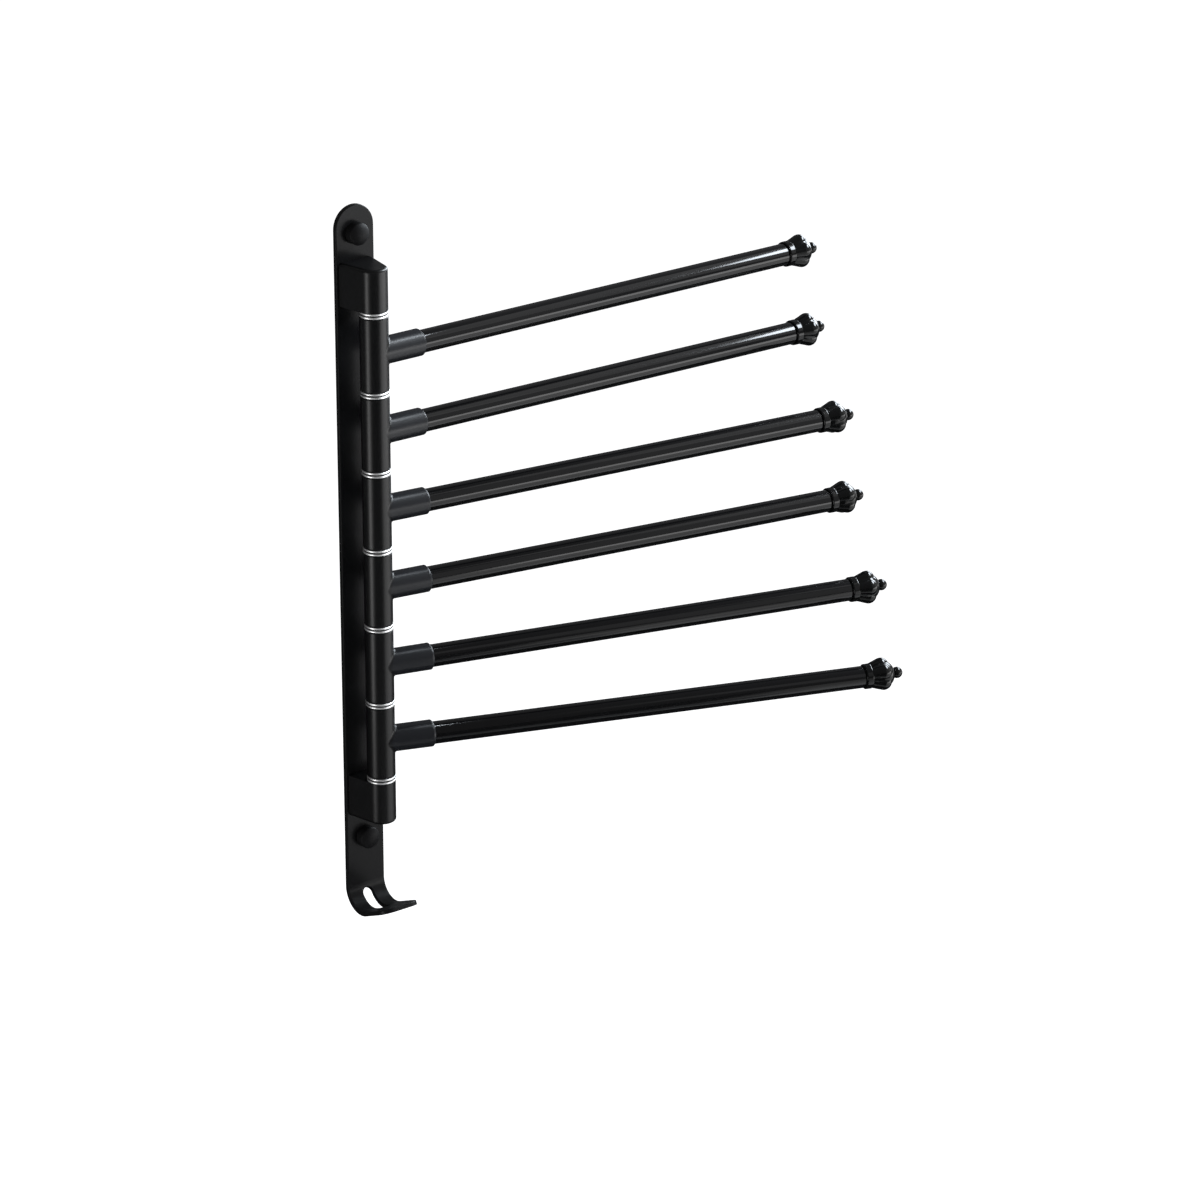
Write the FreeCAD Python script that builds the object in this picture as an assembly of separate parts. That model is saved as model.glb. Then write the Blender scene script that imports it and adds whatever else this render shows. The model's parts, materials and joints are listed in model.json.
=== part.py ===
import FreeCAD, Part
import math
import os

# Wall rack for towels: arms that swing on one upright column, carried by a narrow plate with a hook.
# Millimetres. The wall is the plane y = 0 and the rack stands out of it towards -Y.
# +X is to the right and +Z up. The origin lies on the wall, half way between the two screw holes.

# Arms: height from one to the next, reach from the column's axis, and how far each stands open.
arm_pitch = 45.0
arm_reach = 310.0
arm_swing_degrees = [0.5, 2.0, 7.5, 9.75, 15.25, 19.75]
tube_diameter = 12.7
tube_wall = 1.0

# Column: a fixed spindle, plastic bushes, turning sleeves and the washers between them.
column_from_wall = 18.5
spindle_diameter = 8.0
bush_wall = 1.5
bush_length = 10.0
sleeve_over_socket = 0.6
sleeve_chamfer = 0.5
steel_washer_thickness = 1.1
nylon_washer_thickness = 0.8
steel_washer_proud = 0.15
nylon_washer_inset = 0.35

# Socket on each sleeve that takes the arm's tube.
socket_length = 30.0
socket_wall = 1.2
socket_floor = 2.0
socket_chamfer = 0.9
socket_root_fillet = 1.2

# Wall plate and its hook.
plate_width = 25.0
plate_thickness = 2.5
plate_edge_round = 0.6
wall_hole_diameter = 5.0
hole_to_plate_top = 15.5
hole_to_bend = 28.0
hook_radius = 11.0
hook_lip_rise_degrees = 22.5
hook_lip_length = 20.5
hook_lip_corner = 7.0
hook_slot_width = 7.0
hook_slot_start_degrees = 35.0
hook_slot_past_bend_degrees = 6.0

# Brackets between the plate and the column's ends.
bracket_height = 24.5
bracket_base_width = 22.0
bracket_edge_round = 1.8
spindle_seat = 14.0
bracket_screw_diameter = 4.0
bracket_screw_head = 7.6
bracket_screw_length = 9.0
bracket_screw_spacing = 12.0
cross_recess_span = 4.2
cross_recess_blade = 1.1
cross_recess_depth = 1.3

# Screw up into the spindle's lower end.
spindle_screw_diameter = 5.0
spindle_screw_head = 8.5
spindle_screw_head_height = 4.0
spindle_screw_thread = 12.0
spindle_screw_key = 4.0
spindle_screw_key_depth = 2.2
screw_head_recess = 0.6

# Caps that hide the wall screws, each clipped on a seat ring.
cap_diameter = 12.5
cap_height = 7.0
cap_wall = 1.1
cap_dome = 2.4
cap_edge_round = 1.0
cap_seat_height = 1.8
cap_from_bracket = 8.75

# Crown finial on each arm's end, and how far each one is rolled on its tube.
finial_roll_degrees = [0.0, 0.0, -18.0, -18.0, 0.0, -18.0]
finial_spigot_length = 14.0
finial_groove_length = 0.9
finial_groove_depth = 0.6
finial_collar_length = 4.4
finial_collar_proud = 0.9
finial_collar_round = 0.8
crown_lobes = 5
crown_diameter = 19.4
crown_lobe_diameter = 9.6
crown_lobe_root_diameter = 7.6
crown_neck_diameter = 14.6
crown_core_neck_diameter = 13.2
crown_core_diameter = 16.2
crown_peak_from_collar = 6.6
crown_peak_to_ball = 7.4
finial_waist_diameter = 5.0
finial_ball_diameter = 6.6

# Clearances, all on the radius.
running_gap = 0.05
press_gap = 0.02
slip_gap = 0.05
screw_gap = 0.15
seat_gap = 0.5
washer_gap = 0.1
end_gap = 0.5
head_sink = 0.1

# Two points or directions closer than this are taken as one.
same_place = 1e-6

# Sizes that follow from the ones above.
arm_count = len(arm_swing_degrees)
washer_stack = 2 * steel_washer_thickness + nylon_washer_thickness
sleeve_length = arm_pitch - washer_stack
bush_bore = spindle_diameter + 2 * running_gap
bush_diameter = bush_bore + 2 * bush_wall
sleeve_bore = bush_diameter + 2 * press_gap
socket_bore = tube_diameter + 2 * slip_gap
socket_diameter = socket_bore + 2 * socket_wall
sleeve_diameter = socket_diameter + sleeve_over_socket
socket_bottom = sleeve_diameter / 2 + socket_floor
tube_bore = tube_diameter - 2 * tube_wall
ball_waist_to_middle = math.sqrt(finial_ball_diameter ** 2 - finial_waist_diameter ** 2) / 2
finial_length = (
    finial_groove_length
    + finial_collar_length
    + crown_peak_from_collar
    + crown_peak_to_ball
    + ball_waist_to_middle
    + finial_ball_diameter / 2
)
tube_end = arm_reach - finial_length
collar_start = tube_end + finial_groove_length
collar_end = collar_start + finial_collar_length
crown_peak = collar_end + crown_peak_from_collar
ball_start = crown_peak + crown_peak_to_ball
column_half = (arm_count * arm_pitch + washer_stack) / 2
hole_height = column_half + bracket_height + cap_from_bracket + cap_diameter / 2
plate_top = hole_height + hole_to_plate_top
bend_top = -hole_height - hole_to_bend
bend_centre_y = -plate_thickness - hook_radius
bend_turn = math.radians(90 + hook_lip_rise_degrees)
bracket_middle = column_half + bracket_height / 2
cap_cavity = cap_diameter - 2 * cap_wall
seat_diameter = cap_cavity - 2 * slip_gap
seat_bore = wall_hole_diameter + 2 * seat_gap
column_axis = FreeCAD.Vector(0, -column_from_wall, 0)
up = FreeCAD.Vector(0, 0, 1)
along_arm = FreeCAD.Vector(1, 0, 0)
off_wall = FreeCAD.Vector(0, -1, 0)


def upright(diameter, low, high):
    """Round bar on the Z axis between two heights."""
    return Part.makeCylinder(diameter / 2, high - low, FreeCAD.Vector(0, 0, low), up)


def ring(outer, inner, low, high):
    """Round tube on the Z axis between two heights."""
    return upright(outer, low, high).cut(upright(inner, low, high))


def arm_bar(diameter, start, end):
    """Round bar along an arm that still points to +X."""
    return Part.makeCylinder(diameter / 2, end - start, FreeCAD.Vector(start, 0, 0), along_arm)


def turned(edges):
    """Solid of revolution about the arm's axis, from a closed half profile."""
    profile = Part.Face(Part.Wire(edges))
    return profile.revolve(FreeCAD.Vector(0, 0, 0), along_arm, 360)


def line(start, end):
    return Part.LineSegment(start, end).toShape()


def arc(start, middle, end):
    return Part.Arc(start, middle, end).toShape()


def level_arc(top, end):
    """Arc that leaves its top point level and runs down to its end point."""
    run = end.x - top.x
    drop = top.y - end.y
    radius = (run ** 2 + drop ** 2) / (2 * drop)
    half_way = math.atan2(run, radius - drop) / 2
    middle = FreeCAD.Vector(
        top.x + radius * math.sin(half_way),
        top.y - radius * (1 - math.cos(half_way)),
        0,
    )
    return arc(top, middle, end)


def drilled_from_wall(diameter, depth, height):
    """Round cutter that runs off the wall plane at one height on the plate's middle line."""
    return Part.makeCylinder(diameter / 2, depth, FreeCAD.Vector(0, 0, height), off_wall)


def on_bend(radius, angle):
    """Point of the hook's bend, from the plate's own direction at angle 0 round to the lip."""
    return FreeCAD.Vector(
        0,
        bend_centre_y + radius * math.cos(angle),
        bend_top - radius * math.sin(angle),
    )


def bracket_screw_heights():
    """Heights of the screws that hold both brackets to the plate."""
    step = bracket_screw_spacing / 2
    return [side * bracket_middle + way * step for side in (1, -1) for way in (1, -1)]


def hook_strip():
    """Flat strip bent forward into the hook, seen from the side and drawn across its width."""
    inner = hook_radius
    outer = hook_radius + plate_thickness
    lip = FreeCAD.Vector(0, -math.sin(bend_turn), -math.cos(bend_turn)) * hook_lip_length
    back_top = FreeCAD.Vector(0, 0, plate_top)
    front_top = FreeCAD.Vector(0, -plate_thickness, plate_top)
    lip_inner = on_bend(inner, bend_turn) + lip
    lip_outer = on_bend(outer, bend_turn) + lip
    side = Part.Wire(
        [
            line(back_top, front_top),
            line(front_top, on_bend(inner, 0)),
            arc(on_bend(inner, 0), on_bend(inner, bend_turn / 2), on_bend(inner, bend_turn)),
            line(on_bend(inner, bend_turn), lip_inner),
            line(lip_inner, lip_outer),
            line(lip_outer, on_bend(outer, bend_turn)),
            arc(on_bend(outer, bend_turn), on_bend(outer, bend_turn / 2), on_bend(outer, 0)),
            line(on_bend(outer, 0), back_top),
        ]
    )
    strip = Part.Face(side).extrude(FreeCAD.Vector(plate_width, 0, 0))
    strip.translate(FreeCAD.Vector(-plate_width / 2, 0, 0))
    tip = (lip_inner + lip_outer) / 2
    tip_corners = [tip + along_arm * (way * plate_width / 2) for way in (1, -1)]
    corners = [
        edge
        for edge in strip.Edges
        if any(edge.CenterOfMass.isEqual(corner, same_place) for corner in tip_corners)
    ]
    return strip.makeFillet(hook_lip_corner, corners)


def round_top_outline():
    """Prism with the plate's front outline: straight sides under a half-round top."""
    half = plate_width / 2
    shoulder = plate_top - half
    foot = bend_top - 2 * (hook_radius + plate_thickness)
    depth = plate_thickness + 2 * hook_radius + hook_lip_length
    left_low = FreeCAD.Vector(-half, plate_thickness, foot)
    left_high = FreeCAD.Vector(-half, plate_thickness, shoulder)
    peak = FreeCAD.Vector(0, plate_thickness, plate_top)
    right_high = FreeCAD.Vector(half, plate_thickness, shoulder)
    right_low = FreeCAD.Vector(half, plate_thickness, foot)
    outline = Part.Wire(
        [
            line(left_low, left_high),
            arc(left_high, peak, right_high),
            line(right_high, right_low),
            line(right_low, left_low),
        ]
    )
    return Part.Face(outline).extrude(off_wall * (depth + plate_thickness))


def front_rim(strip):
    """Outer edges of the side that faces the room, from the round top down to the hook's lip."""
    lip_normal = FreeCAD.Vector(0, -math.cos(bend_turn), math.sin(bend_turn))
    front = []
    for face in strip.Faces:
        if isinstance(face.Surface, Part.Cylinder):
            on_front = abs(face.Surface.Radius - hook_radius) < same_place
        else:
            normal = face.normalAt(0, 0)
            on_front = normal.isEqual(off_wall, same_place) or normal.isEqual(lip_normal, same_place)
        if on_front:
            front.append(face)
    edges = [edge for face in front for edge in face.Edges]
    return [edge for edge in edges if sum(edge.isSame(other) for other in edges) == 1]


def hook_slot():
    """Long hole with round ends that follows the hook's bend."""
    start = math.radians(hook_slot_start_degrees)
    finish = bend_turn + math.radians(hook_slot_past_bend_degrees)
    inner = hook_radius - plate_thickness
    outer = hook_radius + 2 * plate_thickness
    half = FreeCAD.Vector(hook_slot_width / 2, 0, 0)
    corners = [
        on_bend(inner, start) - half,
        on_bend(inner, start) + half,
        on_bend(outer, start) + half,
        on_bend(outer, start) - half,
    ]
    section = Part.Face(Part.makePolygon(corners + corners[:1]))
    centre = FreeCAD.Vector(0, bend_centre_y, bend_top)
    slot = section.revolve(centre, along_arm * -1, math.degrees(finish - start))
    for angle in (start, finish):
        base = on_bend(inner, angle)
        outward = on_bend(outer, angle) - base
        end = Part.makeCylinder(hook_slot_width / 2, outer - inner, base, outward)
        slot = slot.fuse(end)
    return slot


def wall_plate():
    strip = hook_strip().common(round_top_outline())
    strip = strip.makeFillet(plate_edge_round, front_rim(strip))
    cuts = [hook_slot()]
    for side in (1, -1):
        cuts.append(drilled_from_wall(wall_hole_diameter, plate_thickness, side * hole_height))
    shank = bracket_screw_diameter / 2 + screw_gap
    head = bracket_screw_head / 2 + screw_gap
    for height in bracket_screw_heights():
        cuts.append(drilled_from_wall(2 * shank, plate_thickness, height))
        mouth = FreeCAD.Vector(0, 0, height)
        cuts.append(Part.makeCone(head, shank, head - shank, mouth, off_wall))
    return strip.cut(cuts)


def cross_recess(top):
    """Cutter for a cross recess that runs off the wall plane into a screw's head."""
    long_side = cross_recess_span
    short_side = cross_recess_blade
    blades = []
    for wide, tall in ((long_side, short_side), (short_side, long_side)):
        corner = top + FreeCAD.Vector(-wide / 2, -cross_recess_depth, -tall / 2)
        blades.append(Part.makeBox(wide, cross_recess_depth, tall, corner))
    return blades


def bracket_screws():
    """Countersunk screws from behind, with heads just below the plate's back face."""
    shank = bracket_screw_diameter / 2
    head = bracket_screw_head / 2
    screws = []
    for height in bracket_screw_heights():
        top = FreeCAD.Vector(0, -head_sink, height)
        under_head = top + off_wall * (head - shank)
        cone = Part.makeCone(head, shank, head - shank, top, off_wall)
        thread = Part.makeCylinder(shank, bracket_screw_length, under_head, off_wall)
        screws.append(cone.fuse(thread).removeSplitter().cut(cross_recess(top)))
    return Part.makeCompound(screws)


def bracket_block(low, high, rounded_end):
    """Block that narrows from the plate to the round column, with the far end's front edges rounded."""
    radius = sleeve_diameter / 2
    base = bracket_base_width / 2
    back = -plate_thickness
    reach = column_from_wall - plate_thickness
    flank_turn = math.atan2(reach, base) - math.acos(radius / math.hypot(base, reach))
    touch_x = radius * math.cos(flank_turn)
    touch_y = radius * math.sin(flank_turn) - column_from_wall
    left_back = FreeCAD.Vector(-base, back, low)
    left_front = FreeCAD.Vector(-touch_x, touch_y, low)
    nose = FreeCAD.Vector(0, -column_from_wall - radius, low)
    right_front = FreeCAD.Vector(touch_x, touch_y, low)
    right_back = FreeCAD.Vector(base, back, low)
    outline = Part.Wire(
        [
            line(left_back, left_front),
            arc(left_front, nose, right_front),
            line(right_front, right_back),
            line(right_back, left_back),
        ]
    )
    block = Part.Face(outline).extrude(up * (high - low))
    edges = [
        edge
        for edge in block.Edges
        if abs(edge.CenterOfMass.z - rounded_end) < same_place and edge.CenterOfMass.y < back - same_place
    ]
    block = block.makeFillet(bracket_edge_round, edges)
    thread = bracket_screw_diameter + 2 * slip_gap
    depth = plate_thickness + bracket_screw_length + end_gap
    taps = [drilled_from_wall(thread, depth, height) for height in bracket_screw_heights()]
    return block.cut(taps)


def upper_bracket():
    block = bracket_block(column_half, column_half + bracket_height, column_half + bracket_height)
    seat = upright(spindle_diameter + 2 * slip_gap, column_half, column_half + spindle_seat)
    return block.cut(seat.translated(column_axis))


def lower_bracket():
    bottom = -column_half - bracket_height
    seat_bottom = -column_half - spindle_seat
    head_space = spindle_screw_head_height + screw_head_recess
    block = bracket_block(bottom, -column_half, bottom)
    seat = upright(spindle_diameter + 2 * slip_gap, seat_bottom, -column_half)
    passage = upright(spindle_screw_diameter + 2 * screw_gap, bottom, seat_bottom)
    counterbore = upright(spindle_screw_head + 2 * screw_gap, bottom, bottom + head_space)
    return block.cut([cutter.translated(column_axis) for cutter in (seat, passage, counterbore)])


def spindle():
    """Rod through the whole column, tapped at its lower end."""
    low = -column_half - spindle_seat
    high = column_half + spindle_seat - end_gap
    rod = upright(spindle_diameter, low, high)
    tapped = upright(spindle_screw_diameter + 2 * slip_gap, low, low + spindle_screw_thread + end_gap)
    return rod.cut(tapped).translated(column_axis)


def spindle_screw():
    """Socket-head screw that draws the spindle down into the lower bracket."""
    head_low = -column_half - bracket_height + screw_head_recess
    head_high = head_low + spindle_screw_head_height
    thread_high = -column_half - spindle_seat + spindle_screw_thread
    head = upright(spindle_screw_head, head_low, head_high)
    thread = upright(spindle_screw_diameter, head_high, thread_high)
    key_radius = spindle_screw_key / math.sqrt(3)
    key = Part.Face(Part.makePolygon(
        [
            FreeCAD.Vector(key_radius * math.cos(turn), key_radius * math.sin(turn), head_low)
            for turn in [math.radians(60 * corner) for corner in range(7)]
        ]
    )).extrude(up * spindle_screw_key_depth)
    return head.fuse(thread).removeSplitter().cut(key).translated(column_axis)


def washer_stack_bottoms():
    """Lower face of each stack of washers, from the top of the column down."""
    return [column_half - washer_stack - place * arm_pitch for place in range(arm_count + 1)]


def steel_washers():
    outer = sleeve_diameter + 2 * steel_washer_proud
    inner = spindle_diameter + 2 * washer_gap
    washers = []
    for bottom in washer_stack_bottoms():
        for low in (bottom, bottom + steel_washer_thickness + nylon_washer_thickness):
            washers.append(ring(outer, inner, low, low + steel_washer_thickness))
    return Part.makeCompound(washers).translated(column_axis)


def nylon_washers():
    outer = sleeve_diameter - 2 * nylon_washer_inset
    inner = spindle_diameter + 2 * washer_gap
    washers = []
    for bottom in washer_stack_bottoms():
        low = bottom + steel_washer_thickness
        washers.append(ring(outer, inner, low, low + nylon_washer_thickness))
    return Part.makeCompound(washers).translated(column_axis)


def cap_seats():
    """Rings that lie on the plate round the screw holes and carry the caps."""
    seats = []
    for side in (1, -1):
        base = FreeCAD.Vector(0, -plate_thickness, side * hole_height)
        body = Part.makeCylinder(seat_diameter / 2, cap_seat_height, base, off_wall)
        bore = Part.makeCylinder(seat_bore / 2, cap_seat_height, base, off_wall)
        seats.append(body.cut(bore))
    return Part.makeCompound(seats)


def screw_cap(height):
    """Hollow cap with a domed face, standing off the plate at one height."""
    radius = cap_diameter / 2
    shoulder = cap_height - cap_dome
    rim = FreeCAD.Vector(radius, 0, 0)
    face_edge = FreeCAD.Vector(radius, shoulder, 0)
    peak = FreeCAD.Vector(0, cap_height, 0)
    foot = FreeCAD.Vector(0, 0, 0)
    profile = Part.Wire(
        [
            line(foot, rim),
            line(rim, face_edge),
            level_arc(peak, face_edge),
            line(peak, foot),
        ]
    )
    cap_axis = FreeCAD.Vector(0, 1, 0)
    button = Part.Face(profile).revolve(foot, cap_axis, 360)
    bore = Part.makeCylinder(cap_cavity / 2, cap_height, foot, cap_axis)
    cavity = button.translated(cap_axis * -cap_wall).common(bore)
    edge_ring = [
        edge
        for edge in button.Edges
        if edge.CenterOfMass.isEqual(FreeCAD.Vector(0, shoulder, 0), same_place)
    ]
    cap = button.makeFillet(cap_edge_round, edge_ring).cut(cavity)
    cap.rotate(foot, up, 180)
    return cap.translated(FreeCAD.Vector(0, -plate_thickness, height))


def swivel_sleeve():
    """Turning sleeve with the arm's socket cast on its side, still pointing to +X."""
    half = sleeve_length / 2
    barrel = upright(sleeve_diameter, -half, half)
    stub = arm_bar(socket_diameter, 0, socket_length)
    body = barrel.fuse(stub).removeSplitter()
    ends = [
        edge
        for edge in body.Edges
        if abs(abs(edge.CenterOfMass.z) - half) < same_place and edge.isClosed()
    ]
    mouth = [
        edge
        for edge in body.Edges
        if abs(edge.CenterOfMass.x - socket_length) < same_place and edge.isClosed()
    ]
    root = [edge for edge in body.Edges if not isinstance(edge.Curve, (Part.Line, Part.Circle))]
    body = body.makeFillet(socket_root_fillet, root)
    body = body.makeChamfer(sleeve_chamfer, ends)
    body = body.makeChamfer(socket_chamfer, mouth)
    bore = upright(sleeve_bore, -half, half)
    socket = arm_bar(socket_bore, socket_bottom, socket_length)
    return body.cut([bore, socket])


def sleeve_bushes():
    """Two plastic bushes, flush with the ends of their sleeve."""
    half = sleeve_length / 2
    top = ring(bush_diameter, bush_bore, half - bush_length, half)
    bottom = ring(bush_diameter, bush_bore, -half, bush_length - half)
    return Part.makeCompound([top, bottom])


def arm_tube():
    return arm_bar(tube_diameter, socket_bottom, tube_end).cut(
        arm_bar(tube_bore, socket_bottom, tube_end)
    )


def crown_lobe():
    """One rib of the crown: a teardrop that leans outwards from the collar to the peak."""
    root = crown_lobe_root_diameter / 2
    head = crown_lobe_diameter / 2
    root_centre = FreeCAD.Vector(collar_end, crown_neck_diameter / 2 - root, 0)
    head_centre = FreeCAD.Vector(crown_peak, crown_diameter / 2 - head, 0)
    axis = head_centre - root_centre
    tangent = math.pi / 2 + math.asin((head - root) / axis.Length)

    def at(centre, radius, angle):
        return FreeCAD.Vector(centre + radius * math.cos(angle), radius * math.sin(angle), 0)

    root_end = at(0, root, math.pi)
    root_tangent = at(0, root, tangent)
    head_tangent = at(axis.Length, head, tangent)
    head_end = at(axis.Length, head, 0)
    lobe = turned(
        [
            arc(root_end, at(0, root, (math.pi + tangent) / 2), root_tangent),
            line(root_tangent, head_tangent),
            arc(head_tangent, at(axis.Length, head, tangent / 2), head_end),
            line(head_end, root_end),
        ]
    )
    lobe.rotate(FreeCAD.Vector(0, 0, 0), up, math.degrees(math.atan2(axis.y, axis.x)))
    return lobe.translated(root_centre)


def finial_core():
    """Turned parts of the finial: spigot in the tube, groove, collar, crown's core and end ball."""
    spigot = tube_bore / 2 - slip_gap
    groove = tube_diameter / 2 - finial_groove_depth
    collar = tube_diameter / 2 + finial_collar_proud
    shoulder = collar - finial_collar_round
    waist = finial_waist_diameter / 2
    ball = finial_ball_diameter / 2
    spigot_start = tube_end - finial_spigot_length

    def at(place, radius):
        return FreeCAD.Vector(place, radius, 0)

    collar_first = at(collar_start + finial_collar_round, collar)
    collar_last = at(collar_end - finial_collar_round, collar)
    neck = at(collar_end, crown_core_neck_diameter / 2)
    peak = at(crown_peak, crown_core_diameter / 2)
    return turned(
        [
            line(at(spigot_start, 0), at(spigot_start, spigot)),
            line(at(spigot_start, spigot), at(tube_end, spigot)),
            line(at(tube_end, spigot), at(tube_end, groove)),
            line(at(tube_end, groove), at(collar_start, groove)),
            line(at(collar_start, groove), at(collar_start, shoulder)),
            level_arc(collar_first, at(collar_start, shoulder)),
            line(collar_first, collar_last),
            level_arc(collar_last, at(collar_end, shoulder)),
            line(at(collar_end, shoulder), neck),
            level_arc(peak, neck),
            level_arc(peak, at(ball_start, waist)),
            arc(at(ball_start, waist), at(arm_reach - ball, ball), at(arm_reach, 0)),
            line(at(arm_reach, 0), at(spigot_start, 0)),
        ]
    )


def finial(roll):
    """Crown finial with its first lobe upwards, then rolled on the tube."""
    lobes = []
    for place in range(crown_lobes):
        lobe = crown_lobe()
        lobe.rotate(FreeCAD.Vector(0, 0, 0), along_arm, 90 + 360 / crown_lobes * place)
        lobes.append(lobe)
    crowned = finial_core().multiFuse(lobes)
    crowned.rotate(FreeCAD.Vector(0, 0, 0), along_arm, roll)
    return crowned


def on_arm(shape, place):
    """The same piece turned and lifted to its own arm, counted from the top."""
    height = (arm_count - 1) / 2 * arm_pitch - place * arm_pitch
    placed = shape.copy()
    placed.rotate(FreeCAD.Vector(0, 0, 0), up, -arm_swing_degrees[place])
    return placed.translated(column_axis + up * height)


os.makedirs("parts", exist_ok=True)
fixed_pieces = {
    "wall_plate": wall_plate(),
    "upper_bracket": upper_bracket(),
    "lower_bracket": lower_bracket(),
    "bracket_screws": bracket_screws(),
    "spindle": spindle(),
    "spindle_screw": spindle_screw(),
    "steel_washers": steel_washers(),
    "nylon_washers": nylon_washers(),
    "cap_seats": cap_seats(),
    "upper_screw_cap": screw_cap(hole_height),
    "lower_screw_cap": screw_cap(-hole_height),
}
for name, shape in fixed_pieces.items():
    shape.exportStep("parts/" + name + ".step")

for place in range(arm_count):
    arm_pieces = {
        "swivel_sleeve": swivel_sleeve(),
        "sleeve_bushes": sleeve_bushes(),
        "arm_tube": arm_tube(),
        "finial": finial(finial_roll_degrees[place]),
    }
    for name, shape in arm_pieces.items():
        on_arm(shape, place).exportStep("parts/" + name + "_" + str(place + 1) + ".step")
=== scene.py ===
import json
import math

import bmesh
import bpy
from bpy.props import FloatProperty, FloatVectorProperty, PointerProperty
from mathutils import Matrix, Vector


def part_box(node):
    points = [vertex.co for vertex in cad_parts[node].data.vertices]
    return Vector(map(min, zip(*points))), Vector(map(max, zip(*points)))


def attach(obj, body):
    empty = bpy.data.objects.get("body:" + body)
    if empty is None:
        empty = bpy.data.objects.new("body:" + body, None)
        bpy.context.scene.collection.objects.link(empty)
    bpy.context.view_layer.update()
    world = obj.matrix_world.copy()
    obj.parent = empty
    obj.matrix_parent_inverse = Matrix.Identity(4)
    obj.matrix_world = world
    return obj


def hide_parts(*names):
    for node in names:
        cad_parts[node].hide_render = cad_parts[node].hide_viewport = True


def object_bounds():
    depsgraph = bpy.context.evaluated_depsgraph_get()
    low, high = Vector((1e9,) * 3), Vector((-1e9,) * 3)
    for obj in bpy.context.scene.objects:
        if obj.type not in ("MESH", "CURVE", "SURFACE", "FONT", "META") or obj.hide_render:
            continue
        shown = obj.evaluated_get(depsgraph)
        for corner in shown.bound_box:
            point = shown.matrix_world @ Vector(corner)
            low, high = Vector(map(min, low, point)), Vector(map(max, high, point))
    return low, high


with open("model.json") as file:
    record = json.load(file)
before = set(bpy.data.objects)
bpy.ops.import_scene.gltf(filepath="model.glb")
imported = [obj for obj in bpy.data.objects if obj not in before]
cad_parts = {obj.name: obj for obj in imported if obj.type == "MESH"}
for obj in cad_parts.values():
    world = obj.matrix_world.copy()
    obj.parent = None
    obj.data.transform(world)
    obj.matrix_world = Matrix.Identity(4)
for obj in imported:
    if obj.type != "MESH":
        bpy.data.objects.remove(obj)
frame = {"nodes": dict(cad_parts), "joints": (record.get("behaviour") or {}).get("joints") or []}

bl_info = {
    "name": "Swivel towel rack",
    "version": (1, 0, 0),
    "blender": (4, 5, 0),
    "location": "3D View > Sidebar > Towel rack",
    "description": "Finishes a wall-mounted swivel towel rack and sets up its studio",
    "category": "Object",
}

CAD_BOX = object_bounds()
FIXED_BODY = "rack_frame"
SWINGS = frame["joints"]
ARM_NUMBERS = range(1, len(SWINGS) + 1)
COLUMN_AXIS = Vector((SWINGS[0]["pos_m"][0], SWINGS[0]["pos_m"][1], 0.0))
WHITE = (1.0, 1.0, 1.0)
COOL_WHITE = (0.86, 0.93, 1.0)

# How far a finish's roughness varies either way, as a share of itself.
SATIN_SPREAD = 0.1
SMOOTH_SPREAD = 0.04
STEEL_SPREAD = 0.2
NYLON_SPREAD = 0.1
# Darkest tone of a mottled finish, as a share of its colour.
DARKEST = 0.8
NYLON_DARKEST = 0.85
# Where the sleeve's paint changes to the socket's, whose greyer bluish colour is a painted sheen, in radii
# of its barrel, and how much coarser it gets.
BARREL_END = 1.02
SOCKET_START = 1.15
SOCKET_COARSENESS = 2.5

# Faces round each steel washer and round each quarter of its rim.
WASHER_SIDES = 96
RIM_STEPS = 4

# Point that the soft boxes stand round and face.
STUDIO_MIDDLE = Vector((0.1, COLUMN_AXIS.y, 0.0))
# Soft boxes: name, azimuth, elevation, distance, width, height and brightness as a share of white.
LAMPS = (
    ("right_band", 43.0, -7.0, 1.7, 1.8, 0.42, 4.8),
    ("right_foot", 40.0, -22.0, 1.75, 2.0, 0.5, 0.9),
    ("upper_right", 63.0, 31.0, 1.9, 1.5, 1.9, 1.0),
    ("upper_front", 22.0, 24.0, 1.9, 1.0, 1.4, 0.5),
    ("left_strip", -89.0, -18.0, 1.6, 0.4, 0.9, 5.6),
)
# Cool boxes for the streaks: name, shape, place, target, width, height and brightness.
STREAK_LAMPS = (
    ("tube_streak", "ELLIPSE", (0.768, -0.21, 0.54), (0.768, -0.21, 0.0), 0.29, 0.52, 36.0),
    ("socket_streak", "ELLIPSE", (0.110, -0.07, 0.25), (0.110, -0.07, 0.0), 0.03, 0.03, 62.0),
    ("side_box", "RECTANGLE", (1.15, 0.30, 0.36), (0.20, -0.02, 0.0), 0.50, 0.50, 14.0),
)
# Curved grey cards round the rack, seen only in its reflections, where they paint darker reflections:
# name, first and last azimuth, lower and upper edge.
CURVED_CARDS = (
    ("front_card", -68.0, 9.0, -0.95, 0.05),
    ("back_card", -255.0, -105.0, -0.95, 0.60),
)
CARD_DISTANCE = 1.3
CARD_GREY = 0.12
CARD_STEPS = 24
# Level cards under the rack, seen only in its reflections, where they paint darker reflections: name,
# left, right, front, back, height and grey.
LEVEL_CARDS = (
    ("low_card", -0.8, 2.2, -0.32, 1.3, -0.45, 0.02),
    ("low_front_card", -0.1, 0.28, -1.0, -0.5, -0.62, 0.5),
)
# Half the floor's width and how far the camera sees, in metres, and the width of its sensor.
FLOOR_HALF = 40.0
CAMERA_REACH = 200.0
SENSOR_WIDTH_MM = 36.0


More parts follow.
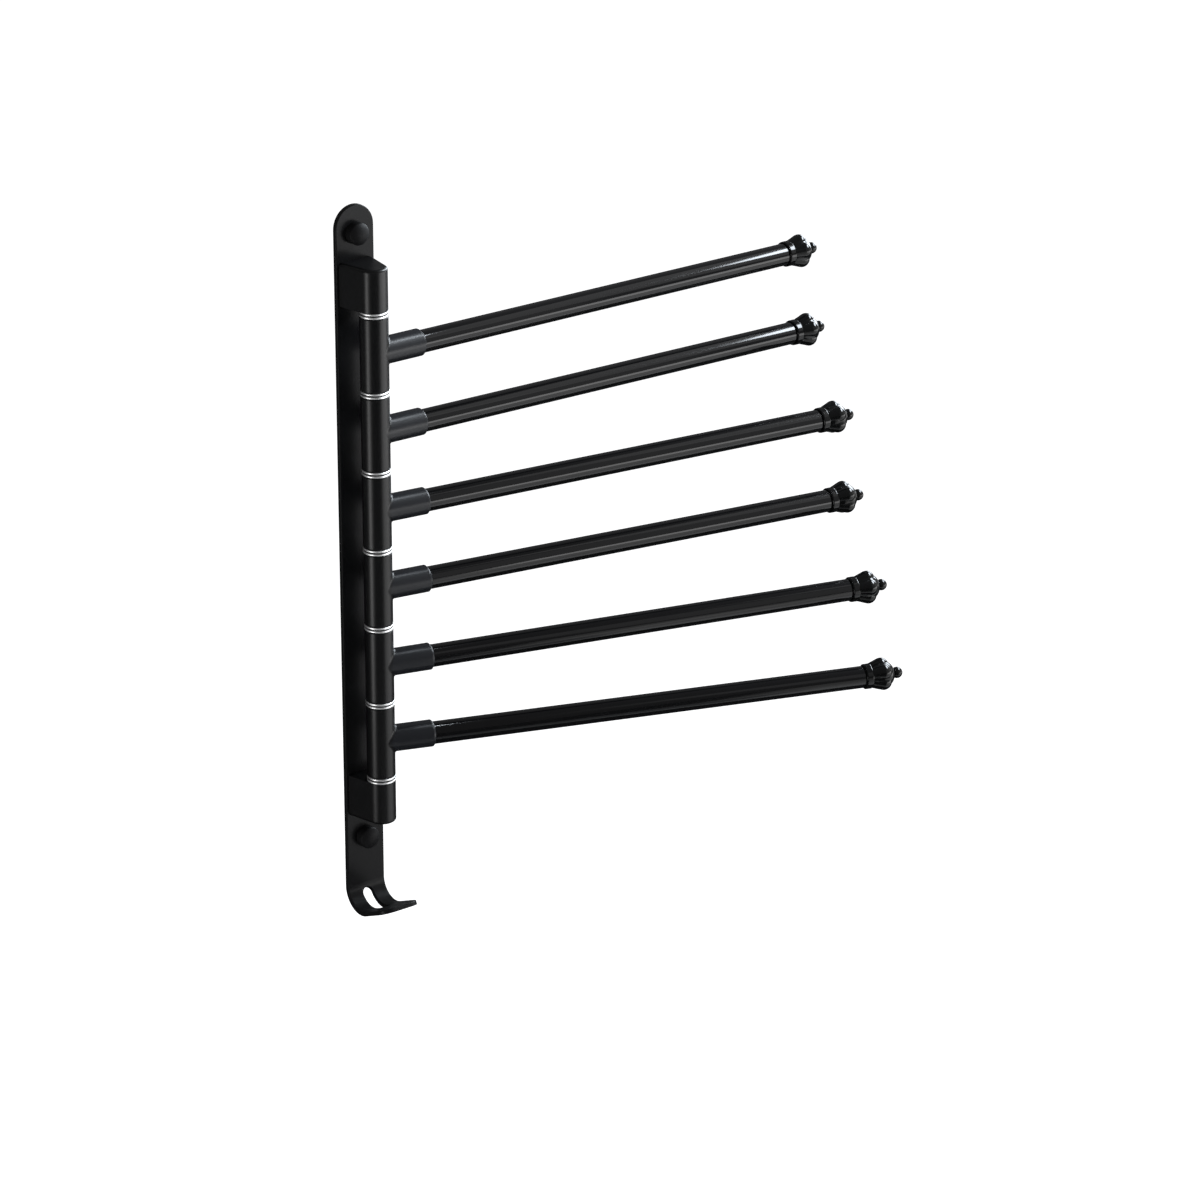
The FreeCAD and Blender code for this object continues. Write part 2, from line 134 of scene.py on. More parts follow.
class PaintSettings(bpy.types.PropertyGroup):
    """Black paint on the plate, column, arms and finials"""

    satin_colour: FloatVectorProperty(
        name="Satin black", description="Paint of the brackets, sleeves and tubes",
        subtype="COLOR", default=(0.0033, 0.0033, 0.0037), min=0.0, max=1.0)
    gloss_colour: FloatVectorProperty(
        name="Gloss black", description="Paint of the finials",
        subtype="COLOR", default=(0.0030, 0.0031, 0.0032), min=0.0, max=1.0)
    plate_colour: FloatVectorProperty(
        name="Plate black", description="Greyer paint of the wall plate and the screw caps",
        subtype="COLOR", default=(0.008, 0.008, 0.0085), min=0.0, max=1.0)
    # Lighter paint along edges: partly paint worn thin by cloth and hands, partly a painted edge
    # highlight.
    worn_colour: FloatVectorProperty(
        name="Rubbed edge", description="Thinner paint along edges that cloth and hands rub",
        subtype="COLOR", default=(0.010, 0.010, 0.011), min=0.0, max=1.0)
    # Greyer, bluish colour on the cast sockets, which paints in their sheen.
    socket_colour: FloatVectorProperty(
        name="Socket black", description="Greyer paint of the cast sockets",
        subtype="COLOR", default=(0.008, 0.009, 0.0115), min=0.0, max=1.0)
    plate_roughness: FloatProperty(
        name="Plate roughness", description="Dullness of the wall plate",
        subtype="FACTOR", default=0.30, min=0.0, max=1.0)
    cap_roughness: FloatProperty(
        name="Cap roughness", description="Dullness of the screw caps",
        subtype="FACTOR", default=0.50, min=0.0, max=1.0)
    sleeve_roughness: FloatProperty(
        name="Sleeve roughness", description="Dullness of the turning sleeves and the brackets",
        subtype="FACTOR", default=0.32, min=0.0, max=1.0)
    socket_roughness: FloatProperty(
        name="Socket roughness", description="Dullness of the cast sockets on the sleeves",
        subtype="FACTOR", default=0.34, min=0.0, max=1.0)
    tube_roughness: FloatProperty(
        name="Tube roughness", description="Dullness of the arm tubes",
        subtype="FACTOR", default=0.095, min=0.0, max=1.0)
    gloss_roughness: FloatProperty(
        name="Finial roughness", description="Dullness of the crown finials",
        subtype="FACTOR", default=0.08, min=0.0, max=1.0)
    plate_gloss: FloatProperty(
        name="Plate gloss", description="Strength of the matt paint's shine on the plate and caps",
        subtype="FACTOR", default=0.075, min=0.0, max=1.0)
    satin_gloss: FloatProperty(
        name="Satin gloss", description="Strength of the satin paint's shine on the column and arms",
        subtype="FACTOR", default=0.25, min=0.0, max=1.0)
    finial_gloss: FloatProperty(
        name="Finial gloss", description="Strength of the gloss paint's shine on the finials",
        subtype="FACTOR", default=0.20, min=0.0, max=1.0)
    grain_size: FloatProperty(
        name="Grain size", description="Width of one grain of the sprayed paint",
        unit="LENGTH", default=0.0004, min=0.00005)
    grain_depth: FloatProperty(
        name="Grain depth", description="Height of the sprayed paint's grain",
        unit="LENGTH", default=0.000004, min=0.0)
    edge_radius: FloatProperty(
        name="Edge radius", description="Width over which paint rounds a sharp edge",
        unit="LENGTH", default=0.0004, min=0.0)
    sleeve_radius: FloatProperty(
        name="Casting radius",
        description="Width over which the cast sleeve rounds its edges and its socket's root",
        unit="LENGTH", default=0.0011, min=0.0)


class SteelSettings(bpy.types.PropertyGroup):
    """Bare steel of the washers, spindle and screws"""

    washer_colour: FloatVectorProperty(
        name="Washer steel", description="Colour of the bright washers",
        subtype="COLOR", default=(0.92, 0.92, 0.92), min=0.0, max=1.0)
    screw_colour: FloatVectorProperty(
        name="Screw steel", description="Colour of the spindle and the screws",
        subtype="COLOR", default=(0.55, 0.55, 0.57), min=0.0, max=1.0)
    roughness: FloatProperty(
        name="Roughness", description="Dullness of the turned steel",
        subtype="FACTOR", default=0.42, min=0.0, max=1.0)
    line_width: FloatProperty(
        name="Turning lines", description="Width of one line left by the lathe",
        unit="LENGTH", default=0.00012, min=0.00001)
    line_depth: FloatProperty(
        name="Line depth", description="Depth of the lines left by the lathe",
        unit="LENGTH", default=0.000004, min=0.0)
    rim_round: FloatProperty(
        name="Rim rounding", description="Radius of the washers' rounded rims",
        unit="LENGTH", default=0.00035, min=0.00005)


class PlasticSettings(bpy.types.PropertyGroup):
    """Nylon of the bushes, the washers between the steel ones and the cap seats"""

    black_colour: FloatVectorProperty(
        name="Black nylon", description="Colour of the nylon washers and cap seats",
        subtype="COLOR", default=(0.006, 0.006, 0.006), min=0.0, max=1.0)
    white_colour: FloatVectorProperty(
        name="White nylon", description="Colour of the bushes",
        subtype="COLOR", default=(0.72, 0.71, 0.67), min=0.0, max=1.0)
    roughness: FloatProperty(
        name="Roughness", description="Dullness of the moulded nylon",
        subtype="FACTOR", default=0.55, min=0.0, max=1.0)


class StudioSettings(bpy.types.PropertyGroup):
    """Camera, floor and room"""

    camera_place: FloatVectorProperty(
        name="Camera place", description="Where the camera stands, in the rack's frame",
        subtype="TRANSLATION", unit="LENGTH", default=(-1.53144, -2.13642, 0.98363))
    camera_yaw: FloatProperty(
        name="Camera yaw", description="Turn of the camera from the wall's normal towards the right",
        subtype="ANGLE", default=math.radians(38.526))
    camera_pitch: FloatProperty(
        name="Camera pitch", description="How far the camera looks down",
        subtype="ANGLE", default=math.radians(21.216))
    lens: FloatProperty(
        name="Lens", description="Focal length on a 36 mm sensor, in millimetres",
        default=153.67, min=10.0)
    floor_drop: FloatProperty(
        name="Floor drop", description="Height of the rack's foot over the floor",
        unit="LENGTH", default=0.8, min=0.0)
    floor_colour: FloatVectorProperty(
        name="Floor", description="Colour of the floor",
        subtype="COLOR", default=(0.86, 0.86, 0.86), min=0.0, max=1.0)
    floor_glow: FloatProperty(
        name="Floor white", description="Light that brings the floor up to white",
        default=0.85, min=0.0, max=1.0)
    room_grey: FloatProperty(
        name="Room", description="Brightness of the room above the floor",
        default=0.25, min=0.0, max=2.0)


class TowelRackSettings(bpy.types.PropertyGroup):
    """All settings of the rack"""

    paint: PointerProperty(type=PaintSettings)
    steel: PointerProperty(type=SteelSettings)
    plastic: PointerProperty(type=PlasticSettings)
    studio: PointerProperty(type=StudioSettings)


def put(tree, kind, **values):
    """Adds a node; values set its own options, such as an operation."""
    made = tree.nodes.new(kind)
    for name, value in values.items():
        setattr(made, name, value)
    return made


def feed(tree, target, socket, source):
    """Gives a node's input a value, or links it to another node's output."""
    if isinstance(source, bpy.types.NodeSocket):
        tree.links.new(source, target.inputs[socket])
    else:
        target.inputs[socket].default_value = source


def calculate(tree, operation, *sources):
    """Adds one sum to a node tree and returns its result."""
    made = put(tree, "ShaderNodeMath", operation=operation)
    for place, source in enumerate(sources):
        feed(tree, made, place, source)
    return made.outputs[0]


def noise(tree, position, scale, detail=2.0):
    """Even noise from 0 to 1, with a number of waves to the metre."""
    made = put(tree, "ShaderNodeTexNoise")
    feed(tree, made, "Vector", position)
    feed(tree, made, "Scale", scale)
    feed(tree, made, "Detail", detail)
    return made.outputs["Fac"]


def remap(tree, source, low, high, from_low=0.0, from_high=1.0):
    """Spreads a mask over the range from low to high."""
    made = put(tree, "ShaderNodeMapRange", clamp=True)
    feed(tree, made, "Value", source)
    feed(tree, made, "From Min", from_low)
    feed(tree, made, "From Max", from_high)
    feed(tree, made, "To Min", low)
    feed(tree, made, "To Max", high)
    return made.outputs["Result"]


def vary(tree, mask, middle, share):
    """Varies a value by a share of itself either way, as a mask says."""
    return remap(tree, mask, (1.0 - share) * middle, (1.0 + share) * middle)


def mix_colours(tree, mask, first, second):
    """Goes from the first colour to the second as a mask says."""
    made = put(tree, "ShaderNodeMix", data_type="RGBA")
    feed(tree, made, "Factor", mask)
    feed(tree, made, "A", first)
    feed(tree, made, "B", second)
    return made.outputs["Result"]


def opaque(colour, share=1.0):
    """Colour with its alpha, darkened to a share of itself."""
    return (*(share * part for part in colour), 1.0)


def new_group(name, inputs, outputs):
    """Empty shader group with named sockets; returns it with its two ends."""
    group = bpy.data.node_groups.new(name, "ShaderNodeTree")
    for socket, kind in inputs.items():
        group.interface.new_socket(socket, in_out="INPUT", socket_type=kind)
    for socket, kind in outputs.items():
        group.interface.new_socket(socket, in_out="OUTPUT", socket_type=kind)
    return group, put(group, "NodeGroupInput"), put(group, "NodeGroupOutput")


def place_group(tree, group, **sources):
    """Places a shared effect in a material; the keywords are its inputs with underscores for spaces."""
    made = put(tree, "ShaderNodeGroup", node_tree=group)
    for socket, source in sources.items():
        feed(tree, made, socket.replace("_", " ").capitalize(), source)
    return made.outputs


def sprayed_grain():
    """Shared effect: fine grain of sprayed paint, and a slow mottle of its gloss."""
    name = "sprayed_grain"
    if name in bpy.data.node_groups:
        return bpy.data.node_groups[name]
    group, ins, outs = new_group(
        name,
        {"Position": "NodeSocketVector", "Grain size": "NodeSocketFloat"},
        {"Height": "NodeSocketFloat", "Mottle": "NodeSocketFloat"},
    )
    mottle_in_grains = 14.0
    mottle_detail = 3.0
    fine = calculate(group, "DIVIDE", 1.0, ins.outputs["Grain size"])
    slow = calculate(group, "DIVIDE", fine, mottle_in_grains)
    feed(group, outs, "Height", noise(group, ins.outputs["Position"], fine))
    feed(group, outs, "Mottle", noise(group, ins.outputs["Position"], slow, mottle_detail))
    return group


def rubbed_edges():
    """Shared effect: the rounded normal along sharp edges, and a mask of edges, used to lighten the paint
    there partly as wear from cloth and partly as a painted edge highlight.
    """
    name = "rubbed_edges"
    if name in bpy.data.node_groups:
        return bpy.data.node_groups[name]
    group, ins, outs = new_group(
        name,
        {"Position": "NodeSocketVector", "Radius": "NodeSocketFloat"},
        {"Normal": "NodeSocketVector", "Edge": "NodeSocketFloat"},
    )
    flat_cosine, edge_cosine = 0.995, 0.86
    patch_scale, patch_detail = 90.0, 4.0
    patch_from, patch_to = 0.42, 0.62
    bevel_samples = 6
    bevel = put(group, "ShaderNodeBevel", samples=bevel_samples)
    feed(group, bevel, "Radius", ins.outputs["Radius"])
    surface = put(group, "ShaderNodeNewGeometry")
    dot = put(group, "ShaderNodeVectorMath", operation="DOT_PRODUCT")
    feed(group, dot, 0, bevel.outputs["Normal"])
    feed(group, dot, 1, surface.outputs["Normal"])
    turned = remap(group, dot.outputs["Value"], 0.0, 1.0, flat_cosine, edge_cosine)
    patches = noise(group, ins.outputs["Position"], patch_scale, patch_detail)
    rubbed_and_highlight = remap(group, patches, 0.0, 1.0, patch_from, patch_to)
    feed(group, outs, "Normal", bevel.outputs["Normal"])
    feed(group, outs, "Edge", calculate(group, "MULTIPLY", turned, rubbed_and_highlight))
    return group


def lathe_lines():
    """Shared effect: fine rings left on turned steel, along the height, and slow stains."""
    name = "lathe_lines"
    if name in bpy.data.node_groups:
        return bpy.data.node_groups[name]
    group, ins, outs = new_group(
        name,
        {"Position": "NodeSocketVector", "Line width": "NodeSocketFloat"},
        {"Height": "NodeSocketFloat", "Stain": "NodeSocketFloat"},
    )
    drawn_out_level = (0.02, 0.02, 1.0)
    stain_scale, stain_detail = 160.0, 3.0
    squeeze = put(group, "ShaderNodeVectorMath", operation="MULTIPLY")
    feed(group, squeeze, 0, ins.outputs["Position"])
    feed(group, squeeze, 1, drawn_out_level)
    lines = calculate(group, "DIVIDE", 1.0, ins.outputs["Line width"])
    feed(group, outs, "Height", noise(group, squeeze.outputs["Vector"], lines))
    feed(group, outs, "Stain", noise(group, ins.outputs["Position"], stain_scale, stain_detail))
    return group


def new_material(name):
    """Material with only its shader and output; returns it with its tree and shader."""
    material = bpy.data.materials.new(name)
    material.use_nodes = True
    tree = material.node_tree
    tree.nodes.clear()
    shader = put(tree, "ShaderNodeBsdfPrincipled")
    output = put(tree, "ShaderNodeOutputMaterial")
    feed(tree, output, "Surface", shader.outputs["BSDF"])
    return material, tree, shader


def object_position(tree):
    """Place of a point in its piece's own frame, which is the rack's at rest."""
    return put(tree, "ShaderNodeTexCoord").outputs["Object"]


def raise_grain(tree, height, depth, normal=None):
    """Bump of a given real depth, over the surface's normal or a given one."""
    made = put(tree, "ShaderNodeBump")
    feed(tree, made, "Distance", depth)
    feed(tree, made, "Height", height)
    if normal is not None:
        feed(tree, made, "Normal", normal)
    return made.outputs["Normal"]


def satin_material(name, colour, roughness, gloss, paint):
    """Sprayed satin black paint, lightened along its edges partly as wear and partly as a painted edge
    highlight.
    """
    material, tree, shader = new_material(name)
    position = object_position(tree)
    grain = place_group(tree, sprayed_grain(), position=position, grain_size=paint.grain_size)
    edges = place_group(tree, rubbed_edges(), position=position, radius=paint.edge_radius)
    # Edges lightened: partly wear, partly a painted edge highlight.
    rubbed_and_highlight = mix_colours(tree, edges["Edge"], opaque(colour), opaque(paint.worn_colour))
    feed(tree, shader, "Base Color", rubbed_and_highlight)
    feed(tree, shader, "Roughness", vary(tree, grain["Mottle"], roughness, SATIN_SPREAD))
    feed(tree, shader, "Normal", raise_grain(tree, grain["Height"], paint.grain_depth, edges["Normal"]))
    shader.inputs["Specular IOR Level"].default_value = gloss
    return material


def smooth_material(name, colour, roughness, gloss, paint):
    """Smooth black paint with only a slow change of its gloss and depth of colour."""
    material, tree, shader = new_material(name)
    position = object_position(tree)
    grain = place_group(tree, sprayed_grain(), position=position, grain_size=paint.grain_size)
    mottled = mix_colours(tree, grain["Mottle"], opaque(colour), opaque(colour, DARKEST))
    feed(tree, shader, "Base Color", mottled)
    feed(tree, shader, "Roughness", vary(tree, grain["Mottle"], roughness, SMOOTH_SPREAD))
    shader.inputs["Specular IOR Level"].default_value = gloss
    return material


def away_from_column(tree, position):
    """Distance of a point from the column's axis."""
    without_height = (1.0, 1.0, 0.0)
    offset = put(tree, "ShaderNodeVectorMath", operation="SUBTRACT")
    feed(tree, offset, 0, position)
    feed(tree, offset, 1, COLUMN_AXIS)
    level = put(tree, "ShaderNodeVectorMath", operation="MULTIPLY")
    feed(tree, level, 0, offset.outputs["Vector"])
    feed(tree, level, 1, without_height)
    length = put(tree, "ShaderNodeVectorMath", operation="LENGTH")
    feed(tree, length, 0, level.outputs["Vector"])
    return length.outputs["Value"]


def sleeve_material(paint):
    """Sleeve paint, coarser on the cast socket than on the turned barrel, with a greyer bluish colour on
    the socket as a painted sheen.
    """
    material, tree, shader = new_material("sleeve_paint")
    position = object_position(tree)
    grain = place_group(tree, sprayed_grain(), position=position, grain_size=paint.grain_size)
    edges = place_group(tree, rubbed_edges(), position=position, radius=paint.sleeve_radius)
    barrel = COLUMN_AXIS.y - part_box("swivel_sleeve_1")[0].y
    away = away_from_column(tree, position)
    socket = remap(tree, away, 0.0, 1.0, BARREL_END * barrel, SOCKET_START * barrel)
    coarseness = remap(tree, socket, 1.0, SOCKET_COARSENESS)
    coarse = calculate(tree, "MULTIPLY", grain["Height"], coarseness)
    # On the socket the colour goes greyer and bluish: a painted sheen.
    sprayed = mix_colours(tree, socket, opaque(paint.satin_colour), opaque(paint.socket_colour))
    # Edges lightened: partly wear, partly a painted edge highlight.
    rubbed_and_highlight = mix_colours(tree, edges["Edge"], sprayed, opaque(paint.worn_colour))
    feed(tree, shader, "Base Color", rubbed_and_highlight)
    feed(tree, shader, "Roughness", remap(tree, socket, paint.sleeve_roughness, paint.socket_roughness))
    feed(tree, shader, "Normal", raise_grain(tree, coarse, paint.grain_depth, edges["Normal"]))
    shader.inputs["Specular IOR Level"].default_value = paint.satin_gloss
    return material


def steel_material(name, colour, steel):
    """Turned steel with fine rings and faint stains."""
    material, tree, shader = new_material(name)
    lines = place_group(tree, lathe_lines(), position=object_position(tree), line_width=steel.line_width)
    stained = mix_colours(tree, lines["Stain"], opaque(colour), opaque(colour, DARKEST))
    feed(tree, shader, "Base Color", stained)
    feed(tree, shader, "Roughness", vary(tree, lines["Stain"], steel.roughness, STEEL_SPREAD))
    feed(tree, shader, "Normal", raise_grain(tree, lines["Height"], steel.line_depth))
    shader.inputs["Metallic"].default_value = 1.0
    return material


def nylon_material(name, colour, plastic, paint):
    """Moulded nylon with a faint grain."""
    material, tree, shader = new_material(name)
    position = object_position(tree)
    grain = place_group(tree, sprayed_grain(), position=position, grain_size=paint.grain_size)
    mottled = mix_colours(tree, grain["Mottle"], opaque(colour), opaque(colour, NYLON_DARKEST))
    feed(tree, shader, "Base Color", mottled)
    feed(tree, shader, "Roughness", vary(tree, grain["Mottle"], plastic.roughness, NYLON_SPREAD))
    feed(tree, shader, "Normal", raise_grain(tree, grain["Height"], paint.grain_depth))
    return material


def dress(material, *nodes):
    """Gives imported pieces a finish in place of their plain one."""
    for name in nodes:
        slots = frame["nodes"][name].material_slots
        if not slots:
            raise RuntimeError("the piece " + name + " has no material slot")
        for slot in slots:
            slot.material = material


def each_arm(piece):
    """Names of the pieces of one kind, one for each arm."""
    return [piece + "_" + str(number) for number in ARM_NUMBERS]


def place_mesh(name, shape, material):
    """Puts a built shape into the scene as an object."""
    mesh = bpy.data.meshes.new(name)
    shape.normal_update()
    shape.to_mesh(mesh)
    shape.free()
    mesh.materials.append(material)
    placed = bpy.data.objects.new(name, mesh)
    bpy.context.scene.collection.objects.link(placed)
    return placed


def rounded_ring(shape, outer, inner, low, high, rim):
    """Adds a flat ring with rounded outer rims to a shape, on the column's axis."""
    section = [(inner, low), (outer - rim, low)]
    for centre, start in ((low + rim, -90.0), (high - rim, 0.0)):
        for step in range(RIM_STEPS + 1):
            turn = math.radians(start + 90.0 * step / RIM_STEPS)
            section.append((outer - rim + rim * math.cos(turn), centre + rim * math.sin(turn)))
    section.append((inner, high))
    rings = []
    for side in range(WASHER_SIDES):
        turn = 2.0 * math.pi * side / WASHER_SIDES
        spoke = Vector((math.cos(turn), math.sin(turn), 0.0))
        rings.append([
            shape.verts.new(COLUMN_AXIS + spoke * radius + Vector((0.0, 0.0, height)))
            for radius, height in section
        ])
    for side in range(WASHER_SIDES):
        here, there = rings[side], rings[(side + 1) % WASHER_SIDES]
        for place in range(len(section)):
            after = (place + 1) % len(section)
            face = shape.faces.new((here[place], there[place], there[after], here[after]))
            face.smooth = True


class TOWELRACK_OT_wall_plate(bpy.types.Operator):
    """Paints the wall plate with its hook, the brackets and the screw caps"""

    bl_idname = "towel_rack.wall_plate"
    bl_label = "Plate, brackets and caps"

    def execute(self, context):
        paint = context.scene.towel_rack.paint
        grey, black = paint.plate_colour, paint.satin_colour
        plate = satin_material("plate_paint", grey, paint.plate_roughness, paint.plate_gloss, paint)
        caps = satin_material("cap_paint", grey, paint.cap_roughness, paint.plate_gloss, paint)
        brackets = satin_material("bracket_paint", black, paint.sleeve_roughness, paint.satin_gloss, paint)
        dress(plate, "wall_plate")
        dress(caps, "upper_screw_cap", "lower_screw_cap")
        dress(brackets, "upper_bracket", "lower_bracket")
        return {"FINISHED"}


class TOWELRACK_OT_column(bpy.types.Operator):
    """Finishes what the column and plate hold inside: spindle, screws, bushes, nylon washers and seats"""

    bl_idname = "towel_rack.column"
    bl_label = "Spindle, bushes and seats"

    def execute(self, context):
        rack = context.scene.towel_rack
        steel = steel_material("screw_steel", rack.steel.screw_colour, rack.steel)
        black = nylon_material("black_nylon", rack.plastic.black_colour, rack.plastic, rack.paint)
        white = nylon_material("white_nylon", rack.plastic.white_colour, rack.plastic, rack.paint)
        dress(steel, "spindle", "spindle_screw", "bracket_screws")
        dress(black, "nylon_washers", "cap_seats")
        dress(white, *each_arm("sleeve_bushes"))
        return {"FINISHED"}


class TOWELRACK_OT_washers(bpy.types.Operator):
    """Makes the bright steel washers with rounded rims"""

    bl_idname = "towel_rack.washers"
    bl_label = "Steel washers"

    def execute(self, context):
        steel = context.scene.towel_rack.steel
        low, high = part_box("steel_washers")
        spindle_low, spindle_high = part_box("spindle")
        outer = (high.x - low.x) / 2.0
        inner = (spindle_high.x - spindle_low.x) / 2.0
        thickness = high.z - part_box("nylon_washers")[1].z
        stack = high.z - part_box("swivel_sleeve_1")[1].z
        pitch = SWINGS[0]["pos_m"][2] - SWINGS[1]["pos_m"][2]
        shape = bmesh.new()
        for place in range(len(SWINGS) + 1):
            top = high.z - place * pitch
            for bottom in (top - thickness, top - stack):
                rounded_ring(shape, outer, inner, bottom, bottom + thickness, steel.rim_round)
        finish = steel_material("washer_steel", steel.washer_colour, steel)
        rings = place_mesh("washer_rings", shape, finish)
        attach(rings, FIXED_BODY)
        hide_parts("steel_washers")
        return {"FINISHED"}


class TOWELRACK_OT_arms(bpy.types.Operator):
    """Paints the turning sleeves with their sockets and the arm tubes"""

    bl_idname = "towel_rack.arms"
    bl_label = "Sleeves and tubes"

    def execute(self, context):
        paint = context.scene.towel_rack.paint
        black = paint.satin_colour
        tube = smooth_material("tube_paint", black, paint.tube_roughness, paint.satin_gloss, paint)
        dress(sleeve_material(paint), *each_arm("swivel_sleeve"))
        dress(tube, *each_arm("arm_tube"))
        return {"FINISHED"}


class TOWELRACK_OT_finials(bpy.types.Operator):
    """Finishes the crown finials in gloss paint"""

    bl_idname = "towel_rack.finials"
    bl_label = "Crown finials"

    def execute(self, context):
        paint = context.scene.towel_rack.paint
        black = paint.gloss_colour
        gloss = smooth_material("finial_gloss", black, paint.gloss_roughness, paint.finial_gloss, paint)
        dress(gloss, *each_arm("finial"))
        return {"FINISHED"}


def look_direction(yaw, pitch):
    """Direction of a view turned right by yaw from the wall's normal and down by pitch."""
    level = math.cos(pitch)
    return Vector((math.sin(yaw) * level, math.cos(yaw) * level, -math.sin(pitch)))


def around(azimuth, elevation, distance):
    """Point round the rack: azimuth 0 in front of the wall, 90 to the right, elevation upwards."""
    turn, rise = math.radians(azimuth), math.radians(elevation)
    level = distance * math.cos(rise)
    return Vector((math.sin(turn) * level, -math.cos(turn) * level, distance * math.sin(rise)))


def aim(thing, direction):
    """Points a lamp or a camera in a direction."""
    thing.rotation_euler = direction.to_track_quat("-Z", "Y").to_euler()


def matt_material(name, colour):
    """Plain material without any shine; returns it with its tree and shader."""
    material, tree, shader = new_material(name)
    shader.inputs["Base Color"].default_value = opaque(colour)
    shader.inputs["Roughness"].default_value = 1.0
    shader.inputs["Specular IOR Level"].default_value = 0.0
    return material, tree, shader


def white_rays(tree):
    """1 for rays that show the background: from the camera, in reflections and through glass."""
    path = put(tree, "ShaderNodeLightPath")
    seen = calculate(tree, "MAXIMUM", path.outputs["Is Camera Ray"], path.outputs["Is Glossy Ray"])
    return calculate(tree, "MAXIMUM", seen, path.outputs["Is Transmission Ray"])


def floor_material(studio):
    """Pale floor that reads as white to the camera and keeps a shadow."""
    material, tree, shader = matt_material("floor_pale", studio.floor_colour)
    shader.inputs["Emission Color"].default_value = opaque(WHITE)
    glow = calculate(tree, "MULTIPLY", white_rays(tree), studio.floor_glow)
    feed(tree, shader, "Emission Strength", glow)
    return material


def add_lamp(name, shape, place, target, width, height, brightness, colour):
    """Soft box of a given brightness, as a share of white, that points at a target."""
    lamp = bpy.data.lights.new(name, "AREA")
    lamp.shape = shape
    lamp.size = width
    lamp.size_y = height
    lamp.energy = brightness * math.pi * width * height
    lamp.color = colour
    holder = bpy.data.objects.new(name, lamp)
    holder.location = place
    holder.visible_camera = False
    aim(holder, target - place)
    bpy.context.scene.collection.objects.link(holder)


def level_sheet(left, right, front, back, height):
    """Flat rectangle that lies level."""
    corners = ((left, front), (right, front), (right, back), (left, back))
    shape = bmesh.new()
    shape.faces.new([shape.verts.new((x, y, height)) for x, y in corners])
    return shape


def curved_sheet(start, end, low, high):
    """Upright sheet bent round the rack from one azimuth to another."""
    shape = bmesh.new()
    rows = []
    for step in range(CARD_STEPS + 1):
        foot = around(start + (end - start) * step / CARD_STEPS, 0.0, CARD_DISTANCE)
        rows.append([shape.verts.new((foot.x, foot.y, height)) for height in (low, high)])
    for here, there in zip(rows, rows[1:]):
        shape.faces.new((here[0], there[0], there[1], here[1]))
    return shape


def add_card(name, shape, grey):
    """Puts up a grey card that only the rack's reflections show."""
    material = matt_material(name + "_grey", (grey, grey, grey))[0]
    card = place_mesh(name, shape, material)
    card.visible_camera = False
    card.visible_diffuse = False
    card.visible_transmission = False
    card.visible_shadow = False


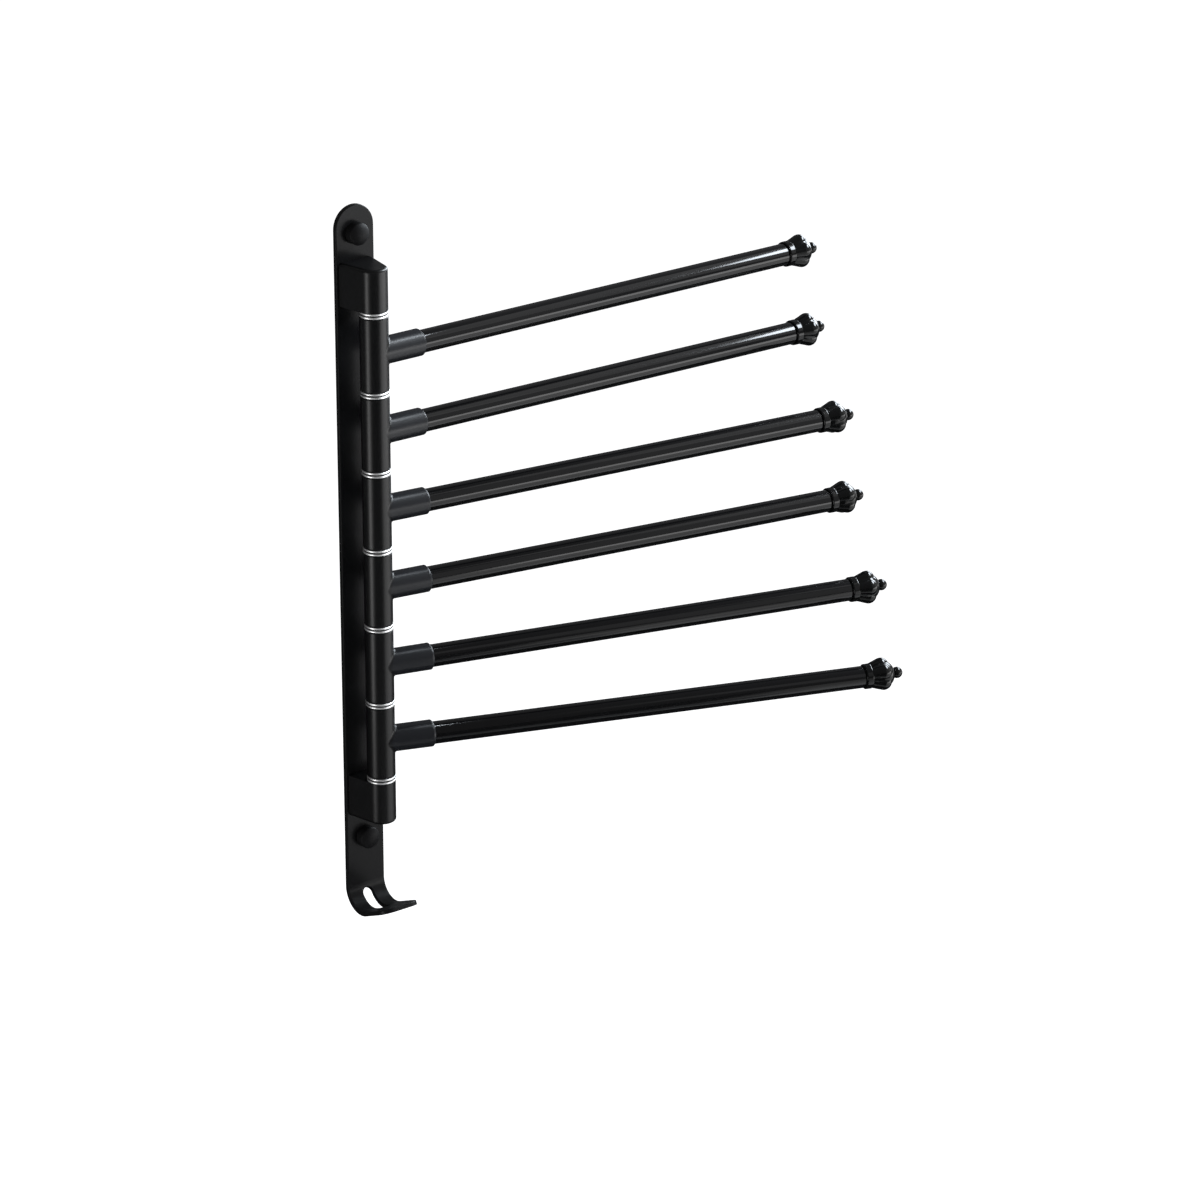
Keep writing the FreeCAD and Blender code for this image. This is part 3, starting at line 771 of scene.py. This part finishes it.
class TOWELRACK_OT_stage(bpy.types.Operator):
    """Sets up the floor, room, lamps, cards and camera"""

    bl_idname = "towel_rack.stage"
    bl_label = "Studio"

    def execute(self, context):
        studio = context.scene.towel_rack.studio
        self.floor(studio)
        self.room(context.scene, studio)
        self.lamps()
        self.cards()
        self.camera(context.scene, studio)
        context.scene.view_settings.view_transform = "Standard"
        return {"FINISHED"}

    def floor(self, studio):
        height = CAD_BOX[0][2] - studio.floor_drop
        shape = level_sheet(-FLOOR_HALF, FLOOR_HALF, -FLOOR_HALF, FLOOR_HALF, height)
        floor = place_mesh("floor", shape, floor_material(studio))

    def room(self, scene, studio):
        world = bpy.data.worlds.new("room")
        world.use_nodes = True
        background = world.node_tree.nodes["Background"]
        background.inputs["Color"].default_value = opaque(WHITE)
        background.inputs["Strength"].default_value = studio.room_grey
        scene.world = world

    def lamps(self):
        for name, azimuth, elevation, distance, width, height, brightness in LAMPS:
            place = STUDIO_MIDDLE + around(azimuth, elevation, distance)
            add_lamp(name, "RECTANGLE", place, STUDIO_MIDDLE, width, height, brightness, WHITE)
        for name, shape, place, target, width, height, brightness in STREAK_LAMPS:
            add_lamp(name, shape, Vector(place), Vector(target), width, height, brightness, COOL_WHITE)

    def cards(self):
        for name, start, end, low, high in CURVED_CARDS:
            add_card(name, curved_sheet(start, end, low, high), CARD_GREY)
        for name, left, right, front, back, height, grey in LEVEL_CARDS:
            add_card(name, level_sheet(left, right, front, back, height), grey)

    def camera(self, scene, studio):
        lens = bpy.data.cameras.new("photo_camera")
        lens.sensor_width = SENSOR_WIDTH_MM
        lens.lens = studio.lens
        lens.clip_end = CAMERA_REACH
        camera = bpy.data.objects.new("photo_camera", lens)
        camera.location = studio.camera_place
        aim(camera, look_direction(studio.camera_yaw, studio.camera_pitch))
        scene.collection.objects.link(camera)
        scene.camera = camera


class TOWELRACK_PT_sidebar(bpy.types.Panel):
    """Settings and steps of the rack"""

    bl_idname = "TOWELRACK_PT_sidebar"
    bl_label = "Towel rack"
    bl_space_type = "VIEW_3D"
    bl_region_type = "UI"
    bl_category = "Towel rack"

    def draw(self, context):
        rack = context.scene.towel_rack
        for group in (rack.paint, rack.steel, rack.plastic, rack.studio):
            box = self.layout.box()
            for name in group.bl_rna.properties.keys():
                if name not in ("rna_type", "name"):
                    box.prop(group, name)
        for operator in OPERATORS:
            self.layout.operator(operator.bl_idname)


SETTINGS = (PaintSettings, SteelSettings, PlasticSettings, StudioSettings, TowelRackSettings)
OPERATORS = (
    TOWELRACK_OT_wall_plate,
    TOWELRACK_OT_column,
    TOWELRACK_OT_washers,
    TOWELRACK_OT_arms,
    TOWELRACK_OT_finials,
    TOWELRACK_OT_stage,
)


def register():
    for kind in (*SETTINGS, *OPERATORS, TOWELRACK_PT_sidebar):
        bpy.utils.register_class(kind)
    bpy.types.Scene.towel_rack = PointerProperty(type=TowelRackSettings)


def unregister():
    del bpy.types.Scene.towel_rack
    for kind in reversed((*SETTINGS, *OPERATORS, TOWELRACK_PT_sidebar)):
        bpy.utils.unregister_class(kind)


def main():
    register()
    bpy.ops.towel_rack.wall_plate()
    bpy.ops.towel_rack.column()
    bpy.ops.towel_rack.washers()
    bpy.ops.towel_rack.arms()
    bpy.ops.towel_rack.finials()
    bpy.ops.towel_rack.stage()


if __name__ == "__main__":
    main()
